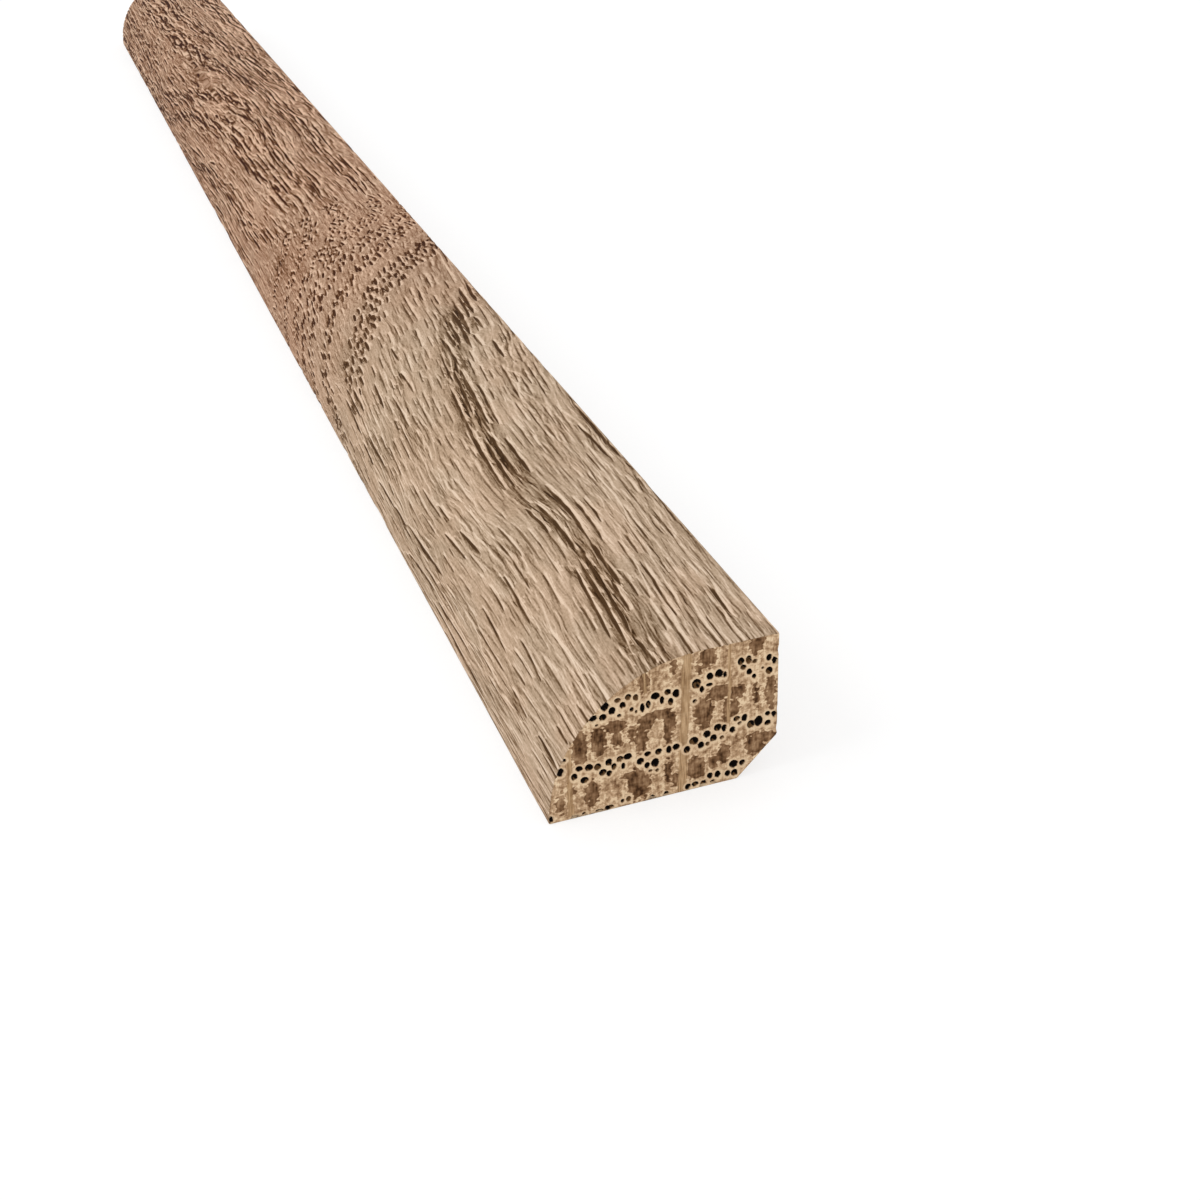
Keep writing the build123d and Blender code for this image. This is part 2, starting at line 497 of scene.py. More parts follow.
# Soft dark stains: (along, round, half length, half width, strength)
stains = [
    (2.5, 9.6, 3.5, 0.8, 0.4), (9, 9.1, 5, 0.6, 0.35), (25.5, 10.3, 4.6, 1.1, 0.85), (22, 8.6, 4, 0.5, 0.45),
    (29, 8.5, 3, 0.5, 0.45), (39, 9.8, 6, 0.95, 0.75), (49, 9.4, 7, 0.7, 0.6), (61, 8.2, 7, 0.6, 0.65),
    (69, 6.4, 3.2, 0.8, 0.75), (82, 0.6, 3, 0.5, 0.5), (76, 3.7, 5, 1.2, 0.5), (42, 0.15, 6, 0.6, 0.95),
    (13.5, 22.9, 1.5, 0.9, 0.8), (40.2, 22.9, 0.9, 0.45, 0.85), (47.5, 23.3, 4.6, 0.7, 0.6),
    (10.5, 22, 2.2, 0.5, 0.7), (2.5, 21.3, 3, 0.4, 0.5), (57.5, 21.1, 3.6, 0.7, 0.45),
    (56, 16.6, 5, 0.7, 0.35), (1.2, 9.8, 2.2, 0.9, 0.7), (37, 1.4, 4.5, 0.4, 0.4), (16.2, 24, 1.2, 0.4, 0.6),
    (62, 20.9, 2.3, 0.35, 0.6), (70, 20.1, 3.5, 0.6, 0.45), (75.9, 19.1, 1.6, 0.55, 0.8),
    (79.3, 18.5, 1, 0.55, 0.8), (80.5, 16, 2.6, 1.3, 0.35), (87.9, 9.9, 1, 0.5, 0.6),
    (98, 3.9, 2.5, 0.8, 0.5), (100, 1.5, 3.5, 0.8, 0.5), (86.4, 21.9, 1, 0.5, 0.8), (99.8, 5, 1.5, 0.8, 0.3),
    (113.2, 0.8, 0.9, 0.7, 0.8), (120.5, 0.8, 0.9, 0.6, 0.8), (119, 5.3, 1, 0.4, 0.6),
    (113.3, 9.8, 0.9, 0.4, 0.8), (118, 18.8, 1.3, 0.6, 0.5), (118, 19.4, 4.6, 2.4, 0.5),
    (116, 18, 9, 6, 0.22), (118, 15, 2.2, 0.6, 0.35), (120.8, 22.5, 1.5, 0.5, 0.5), (131, 9.2, 3, 0.6, 0.55),
    (141, 2.7, 3, 0.4, 0.5), (147, 3.3, 3, 0.3, 0.4), (140, 13.2, 2.6, 0.5, 0.6), (135, 20.4, 3.2, 0.7, 0.4),
    (152, 10.6, 3, 0.4, 0.6), (187.5, 15, 2, 0.4, 0.6), (178, 9.5, 2.5, 0.4, 0.5), (189, 9.3, 2, 0.8, 0.4),
    (206, 14.1, 1.5, 0.5, 0.6), (209.5, 3.3, 1.2, 0.4, 0.6), (224.5, 5.8, 2, 0.6, 0.6),
    (234, 6.1, 1.4, 0.9, 0.7), (225, 10.3, 3, 0.5, 0.6), (218, 21, 2.5, 0.6, 0.5),
    (229.5, 21.3, 0.9, 0.4, 0.7), (244.6, 6.8, 2.2, 0.9, 0.75), (262, 9.1, 6, 0.8, 0.4),
    (272, 14.5, 6, 0.8, 0.35), (284, 16, 8, 0.9, 0.35), (255, 18.8, 8, 0.8, 0.35), (290, 22, 12, 1, 0.35),
    (180, 24.8, 24, 2.4, 0.22), (226, 17, 24, 3, 0.1),
]


def stain_field():
    """How much stain the wood took at each point, which is the most that any of these gives it.

    A stain of the list gives strength * exp(-r^2) about its middle. The dark streak gives
    0.66 * exp(-r^4) about a line that lies streak_shift nearer the toe than its growth line. The bands
    of dashes give 0.12 times their mask, and a growth line past the swirl 0.25 * exp(-r^2).
    """
    field = np.zeros(S.shape)
    for middle, place, half_length, half_width, strength in stains:
        r2 = ((A - middle) / half_length) ** 2 + ((S - place) / half_width) ** 2
        field = np.maximum(field, strength * np.exp(-r2))
    streak_line = 2
    streak_half = 1.6
    streak_shift = 0.25
    streak_ends = (84, 74)
    far_off = 9.0
    line_half = 1.2
    beside = np.where(np.round(line_place) == streak_line, line_distance - streak_shift, far_off)
    streak = 0.66 * np.exp(-((beside / streak_half) ** 4)) * smooth_step(A, *streak_ends)
    lines = 0.25 * np.exp(-((line_distance / line_half) ** 2)) * beyond
    return np.maximum.reduce([field, streak, 0.12 * dash_bands(), lines])


def relief():
    """How deep the surface lies under the plain section, in millimetres, at each grid point.

    A groove is deepest, by up to groove_depth, where |offset| is less than its half width, and its
    sides are eased. Random hills of up to 2 * grain_depth go over all, and the edges are taken back.
    """
    groove_depth = 0.11
    grain_depth = 0.010
    across = np.abs(grooves.offset) - np.maximum(grooves.half, 0)
    side = smooth_step(across, 0.14, -0.08)
    has_width = smooth_step(grooves.half, -0.02, 0.06)
    depth = groove_depth * (side * has_width) * (0.3 + 0.7 * grooves.dark)
    depth += grain_depth * (1 + soft_noise(S, A, 0.9, 6.0))
    for place in (0, toe, heel, foot):
        depth[np.isclose(around, place)] += ease
    depth[:, [0, -1]] += ease
    return depth


def inset(y, z):
    """Distance from (y, z) to the nearest side of the section, positive inside it."""
    top = np.where(y < nose_middle, nose_radius - np.hypot(y - nose_middle, z), strip_height - z)
    off_heel = (z - (y - (high[1] - heel_chamfer))) / math.sqrt(2)
    return np.minimum.reduce([top, z, high[1] - y, off_heel])


# The open pores of the end grain, each as (from the toe, from the bed, half width, half height)
pores = np.array([
    # The top row
    (3.9, 8.75, 0.28, 0.22), (4.9, 9.55, 0.28, 0.28), (4.7, 8.65, 0.24, 0.25), (5.45, 9.05, 0.23, 0.28),
    (5.9, 9.85, 0.21, 0.18), (6.3, 9.35, 0.2, 0.23), (6.75, 9.95, 0.2, 0.22), (7.35, 9.75, 0.18, 0.24),
    (7.85, 8.7, 0.15, 0.33), (8.35, 8.9, 0.17, 0.28), (8.9, 9.5, 0.28, 0.25), (9.45, 9, 0.15, 0.27),
    (9.9, 9.6, 0.21, 0.22), (10.15, 8.7, 0.18, 0.26), (10.6, 9.3, 0.23, 0.3), (12.25, 9.75, 0.3, 0.35),
    (12.7, 9.15, 0.15, 0.23), (12.1, 8.2, 0.15, 0.15), (13.35, 10.15, 0.23, 0.26), (14.1, 10.2, 0.25, 0.32),
    (14.6, 10, 0.12, 0.23), (15.9, 10.85, 0.22, 0.28), (16.55, 10.85, 0.2, 0.3), (16.1, 10.25, 0.2, 0.2),
    (16.6, 9.75, 0.18, 0.23), (17, 9.25, 0.15, 0.18), (18.25, 10.65, 0.2, 0.23), (18.25, 9.45, 0.23, 0.26),
    (18.75, 10.2, 0.18, 0.25), (7, 8.77, 0.13, 0.16), (7.35, 8.5, 0.08, 0.12), (6, 8.5, 0.14, 0.12),
    (13.3, 9.4, 0.22, 0.13), (17.07, 10.6, 0.17, 0.14), (17.7, 9.84, 0.08, 0.08), (4.2, 8.1, 0.1, 0.07),
    # The middle row
    (1.15, 4.55, 0.27, 0.28), (2.25, 3.85, 0.2, 0.25), (2.65, 4.5, 0.23, 0.2), (3.05, 3.35, 0.27, 0.23),
    (3.45, 4.4, 0.25, 0.27), (4.15, 4.25, 0.23, 0.28), (4.55, 3.65, 0.25, 0.25), (5.05, 4.45, 0.23, 0.27),
    (5.05, 3.45, 0.18, 0.2), (5.45, 3.95, 0.17, 0.25), (5.95, 4.5, 0.22, 0.23), (6.6, 4.6, 0.27, 0.22),
    (6.2, 3.8, 0.13, 0.23), (7.6, 3.85, 0.25, 0.25), (8.2, 4.4, 0.22, 0.17), (8.15, 3.35, 0.18, 0.22),
    (9.1, 4.35, 0.23, 0.23), (8.8, 3.4, 0.27, 0.32), (8.4, 2.75, 0.13, 0.1), (8.95, 2.65, 0.13, 0.12),
    (9.95, 4.3, 0.18, 0.28), (10.55, 4.4, 0.23, 0.23), (11.45, 3.9, 0.23, 0.25), (12, 4.55, 0.3, 0.3),
    (12.6, 4, 0.2, 0.27), (13.1, 4.9, 0.25, 0.27), (13.15, 4, 0.15, 0.15), (13.65, 4.4, 0.24, 0.27),
    (14, 5.3, 0.25, 0.27), (14.55, 5.1, 0.18, 0.25), (14.35, 4.25, 0.15, 0.15), (15.6, 5.7, 0.22, 0.18),
    (16.25, 5.6, 0.2, 0.27), (16.8, 4.85, 0.25, 0.3), (17.45, 5, 0.27, 0.38), (15.25, 4.75, 0.2, 0.23),
    (15.85, 5.2, 0.16, 0.13), (18.2, 5.5, 0.18, 0.18), (18.25, 4.6, 0.23, 0.23), (18.8, 5.25, 0.15, 0.23),
    # The bottom row, and the one at the bed
    (0.2, 0.4, 0.17, 0.22), (2.2, 0.15, 0.22, 0.1), (4.1, 0.15, 0.22, 0.1), (5, 0.2, 0.3, 0.15),
    (6.05, 0.55, 0.12, 0.13), (6.55, 0.6, 0.17, 0.2), (8.5, 0.2, 0.22, 0.11), (9.7, 0.2, 0.2, 0.12),
    (11.5, 0.35, 0.2, 0.22), (12.1, 0.45, 0.23, 0.18), (12.8, 0.3, 0.23, 0.2), (13.6, 0.25, 0.17, 0.12),
    (13.35, 0.9, 0.2, 0.22), (14, 0.85, 0.2, 0.28), (14.85, 0.7, 0.2, 0.22), (15.45, 0.6, 0.23, 0.27),
    (15.35, 1.45, 0.3, 0.3), (16.1, 1.4, 0.22, 0.22), (1.45, 5.6, 0.18, 0.15), (2.9, 0.2, 0.16, 0.11),
])
pores[:, 0] += low[1]
pores[:, 2:] *= 1.25  # the list gives the dark hole only, and round it the wall slopes in
pore_shade = random.uniform(0, 1, len(pores)) ** 2  # 0 is a pore open to the dark, 1 a nearly filled one

# Brown flames of denser wood, each as (from the toe, from the bed, half width, half height)
flames = [
    (2.8, 6.3, 0.5, 1.3), (4.3, 6.8, 0.5, 1.2), (5.7, 7.6, 0.7, 0.45), (5.75, 6.4, 0.35, 0.6),
    (7, 6.6, 0.3, 0.5), (8.2, 7.4, 0.5, 0.6), (7.7, 5.9, 0.4, 1), (9.2, 7.8, 0.6, 0.35), (10, 7, 0.4, 1),
    (9.9, 5.5, 0.25, 0.9), (12.8, 7.1, 0.65, 1), (12.9, 5.8, 0.28, 0.6), (14.1, 8.5, 0.75, 0.55),
    (15.6, 8.2, 0.55, 0.5), (15.3, 6.8, 0.4, 0.7), (14.7, 6.7, 0.22, 1), (18.4, 7.4, 0.35, 1.2),
    (17.2, 7.6, 0.22, 0.8), (13.2, 12, 0.55, 0.8), (17.2, 12.1, 0.5, 0.7), (10.4, 11.8, 0.2, 0.6),
    (8, 11, 0.35, 0.7), (12.5, 11, 0.22, 0.5), (3.6, 2, 0.45, 1.1), (7.2, 1.9, 0.5, 1.2), (7.9, 1.8, 0.4, 1),
    (6.6, 2.8, 0.5, 0.22), (12.2, 2, 0.6, 0.9), (14.5, 2.7, 0.42, 0.8), (17.2, 3, 0.7, 0.9),
    (18.2, 3.4, 0.7, 0.35), (13.6, 2.2, 0.3, 0.5), (9.9, 2.3, 0.25, 0.8), (10.4, 1.4, 0.3, 0.5),
    (1, 1.6, 0.3, 0.7), (2, 2.6, 0.22, 0.4),
]
# Rays, each as (from the toe at the bed, the same at the top, half width, lowest, highest)
rays = [
    (10.95, 11.5, 0.36, 0, 12.7), (1.85, 1.85, 0.22, 0, 6.3), (14.8, 15, 0.13, 4.5, 12.7),
    (8, 8.1, 0.12, 9.9, 12.7),
]


def oval(y, z, middle_y, middle_z, half_width, half_height):
    """How far out each point is by an oval's own measure: 0 at its middle and 1 on its edge."""
    return np.hypot((y - middle_y) / half_width, (z - middle_z) / half_height)


def pore_fields(y, z):
    """For each point: distance to the nearest pore's edge, negative inside it, its shade and its floor.

    The distance is r - 1 times its mean half width, where r is the oval's own measure. Its floor is 1
    at its lowest point, where light from above falls on its wall, and -1 at its highest.
    """
    nearest = np.full(y.shape, 1.0)
    shade = np.zeros(y.shape)
    floor = np.zeros(y.shape)
    for (middle_y, middle_z, half_width, half_height), own in zip(pores, pore_shade):
        r = oval(y, z, middle_y, middle_z, half_width, half_height)
        distance = (r - 1) * (half_width + half_height) / 2
        shade = np.where(distance < nearest, own, shade)
        floor = np.where(distance < nearest, (middle_z - z) / half_height, floor)
        nearest = np.minimum(nearest, distance)
    return nearest, shade, floor


def flame_field(y, z):
    """How far inside a flame each point is, in millimetres: (edge - r) * half width, r as for a pore."""
    edge = 1.25
    inside = np.full(y.shape, -1.0)
    for middle_y, middle_z, half_width, half_height in flames:
        r = oval(y, z, low[1] + middle_y, middle_z, half_width, half_height)
        inside = np.maximum(inside, (edge - r) * half_width)
    return inside


def ray_distance(y, z):
    """Distance from each point to the edge of the nearest ray, negative inside it.

    A ray leans evenly from the bed to the top, and wavers to either side as a sine of its height.
    """
    nearest = np.full(y.shape, 2.0)
    for at_bed, at_top, half, bottom, top in rays:
        place = low[1] + at_bed + (at_top - at_bed) * z / strip_height
        waver = 0.05 * np.sin(z * 1.3 + at_bed)
        sideways = np.abs(y - place - waver) - half
        past = np.maximum(np.maximum(bottom - z, z - top), 0)
        nearest = np.minimum(nearest, np.hypot(np.maximum(sideways, 0), past) + np.minimum(sideways, 0))
    return nearest


def cap_net(rim, spacing):
    """Points and triangles of an end: its rim, three rings for each pore and a staggered grid between."""
    row_gap = spacing * math.sqrt(0.75)
    rows = np.arange(row_gap, strip_height, row_gap)
    columns = np.arange(low[1], high[1], spacing)
    y, z = np.meshgrid(columns, rows)
    y = y + (np.arange(len(rows)) % 2)[:, None] * spacing / 2
    y, z = y.ravel(), z.ravel()
    rim_gap = 0.55 * spacing
    free = inset(y, z) > rim_gap
    clear = 0.15  # no point of the grid comes this near to a pore
    ring_points = 12
    rim_width = 0.06  # a pore with less wood than this to the rim has no rings of its own
    whole = pores[inset(pores[:, 0], pores[:, 1]) > pores[:, 2:].max(1) + rim_width]
    for a, b, half_width, half_height in whole:
        free &= oval(y, z, a, b, half_width + clear, half_height + clear) > 1
    turn = np.arange(ring_points) * math.tau / ring_points
    ring_shares = (1.2, 1.0, 0.6)  # of the pore's own size
    rings = []
    for share in ring_shares:
        ring_y = whole[:, :1] + whole[:, 2:3] * share * np.cos(turn)
        ring_z = whole[:, 1:2] + whole[:, 3:] * share * np.sin(turn)
        rings.append(np.stack([ring_y.ravel(), ring_z.ravel()], -1))
    points = np.concatenate([rim, np.stack([y[free], z[free]], -1), *rings, whole[:, :2]])
    inside_rim = 1
    same_point = 1e-6
    outline = [list(range(len(rim)))]
    net = delaunay_2d_cdt([Vector(p) for p in points], [], outline, inside_rim, same_point)
    return np.array(net[0]), np.array(net[2])


def four_corners(grid):
    """The values at the corners of each cell of a grid, in the order that turns its face outwards."""
    return np.stack([grid[:-1, :-1], grid[:-1, 1:], grid[1:, 1:], grid[1:, :-1]], 2)


def in_scene(name, data):
    """A new object in the scene, at the origin."""
    made = bpy.data.objects.new(name, data)
    bpy.context.scene.collection.objects.link(made)
    return made


def build_strip():
    """The strip as one closed mesh: the grid of the long surfaces, and the caps with vertices of their own.

    Each vertex of the grid lies under the plain section by its relief. Those of a cap lie in its plane,
    and go in by 0.34 mm in a pore and by up to 0.04 mm of saw marks.
    """
    count_round, count_along = S.shape
    yz, out = section_point(around)
    depth = relief()
    centre_x = (high[0] + low[0]) / 2
    grid = np.empty(S.shape + (3,))
    grid[..., 0] = centre_x + strip_length / 2 - A
    grid[..., 1:] = yz[:, None] - out[:, None] * depth[..., None]
    on_grid = count_round * count_along
    index = np.arange(on_grid).reshape(S.shape)
    quads = four_corners(np.vstack([index, index[:1]])).reshape(-1, 4)
    unrolled = np.stack([np.vstack([S, np.full_like(S[:1], girth)]), np.vstack([A, A[:1]])], -1)
    side_uv = four_corners(unrolled).reshape(-1, 2)
    vertices = [grid.reshape(-1, 3)]
    triangles = []
    total = on_grid
    pit_depth = 0.34
    saw_depth = 0.02  # on average
    for end, spacing, outward in ((0, near_net, 1), (-1, far_net, -1)):
        rim = grid[:, end, 1:]
        points, faces = cap_net(rim, spacing)
        own = points[count_round:]
        x = np.full(len(own), grid[0, end, 0])
        from_pore = pore_fields(*own.T)[0]
        pit = pit_depth * smooth_step(from_pore, 0.02, -0.07)
        pit += saw_depth * (1 + soft_noise(*own.T, 0.5, 1.4))
        x -= outward * pit
        ids = np.concatenate([index[:, end], total + np.arange(len(own))])
        faces = ids[faces]
        if outward < 0:
            faces = faces[:, ::-1]
        triangles.append(faces)
        vertices.append(np.column_stack([x, own]))
        total += len(own)
    vertices = np.concatenate(vertices) * MM
    triangles = np.concatenate(triangles)
    mesh = bpy.data.meshes.new("oak_strip")
    mesh.from_pydata(vertices, [], quads.tolist() + triangles.tolist(), shade_flat=False)
    finishes = np.repeat([0, 1], [len(quads), len(triangles)])  # brushed_face and end_grain
    mesh.polygons.foreach_set("material_index", finishes.astype(np.int32))
    grain = mesh.uv_layers.new(name="grain")
    uv = np.zeros((len(mesh.loops), 2))
    uv[:len(side_uv)] = side_uv * MM
    grain.data.foreach_set("uv", uv.astype(np.float32).ravel())
    y, z = vertices[:, 1] / MM, vertices[:, 2] / MM
    pore, shade, floor = pore_fields(y, z)
    fields = {
        "groove_offset": grooves.offset,
        "groove_half": grooves.half,
        "groove_edge": grooves.edge,
        "groove_dark": grooves.dark,
        "drift": drift,
        "stain": stain_field(),
        "swirl": swirl,
        "gather": near_line,
        "arch": arched * np.exp(-(line_distance ** 4)),
        "pore": pore,
        "pore_shade": shade,
        "pore_floor": floor,
        "flame_depth": flame_field(y, z),
        "ray": ray_distance(y, z),
    }
    for name, values in fields.items():  # those of the long surfaces are 0 on the caps' own vertices
        whole = np.zeros(len(vertices), np.float32)
        whole[:values.size] = values.ravel()
        mesh.attributes.new(name, "FLOAT", "POINT").data.foreach_set("value", whole)
    mesh.validate()
    return in_scene("oak_strip", mesh)


def paint(red, green, blue):
    """A colour as a paint chart gives it, 0 to 255, turned into the linear values that Blender takes."""
    share = np.array([red, green, blue]) / 255
    linear = np.where(share <= 0.04045, share / 12.92, ((share + 0.055) / 1.055) ** 2.4)
    return (*linear, 1.0)


def put(tree, kind, inputs=None, **settings):
    """One node. inputs gives each socket a plain value or another node's output to take it from."""
    made = tree.nodes.new(kind)
    for name, value in settings.items():
        setattr(made, name, value)
    for socket, value in (inputs or {}).items():
        if isinstance(value, bpy.types.NodeSocket):
            tree.links.new(value, made.inputs[socket])
        else:
            made.inputs[socket].default_value = value
    return made


def maths(tree, operation, a, b=0.0, clamp=False):
    """One sum on two numbers."""
    return put(tree, "ShaderNodeMath", {0: a, 1: b}, operation=operation, use_clamp=clamp).outputs[0]


def ramp(tree, value, start, end, low_value=0.0, high_value=1.0):
    """An eased ramp from low_value at start to high_value at end."""
    inputs = {"Value": value, "From Min": start, "From Max": end, "To Min": low_value, "To Max": high_value}
    return put(tree, "ShaderNodeMapRange", inputs, interpolation_type="SMOOTHSTEP").outputs[0]


def mix(tree, share, a, b, way="MIX"):
    """Colour a, with share of colour b over it."""
    made = put(tree, "ShaderNodeMix", {0: share, 6: a, 7: b}, data_type="RGBA", blend_type=way)
    return made.outputs[2]


def blend(tree, share, a, b):
    """Number a, with share of number b in its place."""
    return put(tree, "ShaderNodeMix", {0: share, 2: a, 3: b}, data_type="FLOAT").outputs[0]


def total(tree, start, *parts):
    """A number, with each of the values added to it as often as its weight says."""
    for value, weight in parts:
        inputs = {0: value, 1: weight, 2: start}
        start = put(tree, "ShaderNodeMath", inputs, operation="MULTIPLY_ADD").outputs[0]
    return start


def centred(tree, value):
    """A value from 0 to 1 as its difference from 0.5."""
    return maths(tree, "SUBTRACT", value, 0.5)


def balanced(tree, start, *parts):
    """As total, with each value, from 0 to 1, added as its difference from 0.5. start is a plain number."""
    return total(tree, start - 0.5 * sum(weight for value, weight in parts), *parts)


def product(tree, *values):
    """All the values multiplied."""
    result = values[0]
    for value in values[1:]:
        result = maths(tree, "MULTIPLY", result, value)
    return result


def in_mm(tree, place):
    """A place in metres, in millimetres."""
    return put(tree, "ShaderNodeVectorMath", {0: place, "Scale": 1 / MM}, operation="SCALE").outputs[0]


def aside(tree, place, distance, operation="ADD"):
    """A place on the surface, moved round the section by that distance, or back by it with SUBTRACT."""
    shift = put(tree, "ShaderNodeCombineXYZ", {"X": distance}).outputs[0]
    return put(tree, "ShaderNodeVectorMath", {0: place, 1: shift}, operation=operation).outputs[0]


def tones(tree, tone, colours):
    """A colour for each tone from 0 to 1, blended between those given as (tone, red, green, blue)."""
    made = put(tree, "ShaderNodeValToRGB", {0: tone})
    band = made.color_ramp
    while len(band.elements) < len(colours):
        band.elements.new(0.5)
    for stop, colour in zip(band.elements, colours):
        stop.position = colour[0]
    for stop, colour in zip(band.elements, colours):
        stop.color = paint(*colour[1:])
    return made.outputs[0]


def read(tree, name):
    """A number that the mesh holds for each vertex."""
    return put(tree, "ShaderNodeAttribute", attribute_name=name).outputs["Fac"]


def use(tree, group, **inputs):
    """A group placed in a finish with its own values."""
    return put(tree, "ShaderNodeGroup", inputs, node_tree=group).outputs


def add_group(name, inputs, outputs):
    """An empty node group. inputs gives each number's value, or None for a vector; outputs are numbers."""
    group = bpy.data.node_groups.new(name, "ShaderNodeTree")
    for socket, value in inputs.items():
        kind = "NodeSocketVector" if value is None else "NodeSocketFloat"
        made = group.interface.new_socket(socket, in_out="INPUT", socket_type=kind)
        if value is not None:
            made.default_value = value
    for socket in outputs:
        group.interface.new_socket(socket, in_out="OUTPUT", socket_type="NodeSocketFloat")
    return group, group.nodes.new("NodeGroupInput").outputs, group.nodes.new("NodeGroupOutput").inputs


def fibre_group():
    """Fibre: cloudy streaks, Across by Along millimetres each, from 0 to 1."""
    group, given, result = add_group(
        "fibre", {"Place": None, "Across": 0.3, "Along": 4.0, "Detail": 2.0}, ["Tone"])
    size = put(group, "ShaderNodeCombineXYZ", {"X": given["Across"], "Y": given["Along"], "Z": 1.0})
    place = put(group, "ShaderNodeVectorMath", {0: given["Place"], 1: size.outputs[0]}, operation="DIVIDE")
    noise = put(
        group, "ShaderNodeTexNoise",
        {"Vector": place.outputs[0], "Scale": 1.0, "Detail": given["Detail"], "Roughness": 0.55},
        noise_dimensions="2D")
    group.links.new(noise.outputs[0], result["Tone"])
    return group


fibre = fibre_group()


def streaks(tree, place, across, along, detail=2.0):
    """The tone that the fibre group gives with these values."""
    return use(tree, fibre, Place=place, Across=across, Along=along, Detail=detail)["Tone"]


def ridge_group():
    """Ridge: painted light and shade on the edges of long raised fibres, from -1 to 1, and their height,
    from 0 to 1.

    The height is a streaky tone put through a steep ramp. The painted light and shade are that height
    less the height a step nearer the toe, so the side that faces the arris is painted light and the other
    side painted shade.
    """
    group, given, result = add_group(
        "ridge", {"Place": None, "Across": 0.85, "Along": 13.0, "Detail": 2.0, "Step": 0.2, "Soft": 0.06},
        ["Lit", "Height"])
    start = maths(group, "SUBTRACT", 0.5, given["Soft"])
    crest = maths(group, "ADD", 0.5, given["Soft"])
    stepped = aside(group, given["Place"], product(group, given["Across"], given["Step"]))
    here, there = (
        ramp(group, streaks(group, place, given["Across"], given["Along"], given["Detail"]), start, crest)
        for place in (given["Place"], stepped))
    group.links.new(maths(group, "SUBTRACT", here, there), result["Lit"])
    group.links.new(here, result["Height"])
    return group


ridge = ridge_group()


def new_finish(name, roughness, shine):
    """An empty material with its Principled BSDF, as rough and as shiny as that all over."""
    finish = bpy.data.materials.new(name)
    finish.use_nodes = True
    finish.node_tree.nodes.clear()
    tree = finish.node_tree
    shader = put(tree, "ShaderNodeBsdfPrincipled", {"Roughness": roughness, "Specular IOR Level": shine})
    put(tree, "ShaderNodeOutputMaterial", {"Surface": shader.outputs[0]})
    return finish, tree, shader


def dress(tree, shader, colour, height):
    """Gives a finish its colour, and its bump from a height in millimetres."""
    bump = put(tree, "ShaderNodeBump", {"Height": height, "Distance": MM, "Strength": 0.8})
    tree.links.new(colour, shader.inputs["Base Color"])
    tree.links.new(bump.outputs[0], shader.inputs["Normal"])


# Colours of the brushed face from the darkest groove to the brightest painted highlight on a lip,
# near the end and far along
near_tones = [
    (0.0, 56, 34, 10), (0.15, 92, 66, 40), (0.3, 129, 104, 78), (0.45, 160, 136, 111), (0.6, 183, 158, 132),
    (0.78, 203, 178, 153), (1.0, 228, 205, 181),
]
far_tones = [
    (0.0, 54, 20, 2), (0.15, 86, 49, 21), (0.3, 121, 84, 57), (0.45, 149, 113, 87), (0.6, 170, 136, 111),
    (0.78, 192, 158, 132), (1.0, 220, 187, 160),
]
# Colours of the end grain from its crevices to the walls of its pores, and those of its rays
end_tones = [
    (0.0, 66, 41, 22), (0.15, 104, 74, 48), (0.3, 131, 98, 69), (0.5, 165, 131, 98), (0.7, 198, 164, 129),
    (0.85, 219, 187, 151), (1.0, 243, 215, 178),
]
ray_tones = [(0.2, 136, 103, 70), (0.5, 175, 140, 102), (0.8, 206, 171, 131)]


def groove_marks(tree, place):
    """Masks of the grooves: the dark line, the painted highlight on the lip away from the toe, and the
    painted shade below.

    A groove's line is where the offset, wavering a little, is less than its half width. Between two
    grooves the offset jumps through 0, and there the distance to the nearest edge blots it out.
    """
    waver = streaks(tree, place, 0.9, 2.6, 1.0)
    offset = total(tree, read(tree, "groove_offset"), (centred(tree, waver), 0.14))
    swell = streaks(tree, place, 0.5, 2.8, 1.0)
    half = product(tree, read(tree, "groove_half"), ramp(tree, swell, 0.3, 0.7, 0.75, 1.2))
    edge = read(tree, "groove_edge")
    cut = ramp(tree, half, -0.01, 0.05)
    dark = read(tree, "groove_dark")
    across = maths(tree, "SUBTRACT", maths(tree, "ABSOLUTE", offset), half)
    above = maths(tree, "ADD", offset, half)
    below = maths(tree, "SUBTRACT", offset, half)
    line = product(
        tree, ramp(tree, across, 0.06, -0.05), ramp(tree, edge, 0.10, 0.05), cut,
        ramp(tree, swell, 0.3, 0.6, 0.7, 1.0), dark)
    # Painted highlight on the lip beside the groove, on the side away from the toe
    lip_highlight = product(
        tree, ramp(tree, above, -0.46, -0.18), ramp(tree, above, 0.0, -0.07), cut,
        ramp(tree, edge, 0.48, 0.34), dark)
    # Painted shade beside the groove, on the side of the toe
    shade = product(
        tree, ramp(tree, below, -0.05, 0.03), ramp(tree, below, 0.36, 0.04), cut,
        ramp(tree, edge, 0.42, 0.30), dark)
    return line, lip_highlight, shade


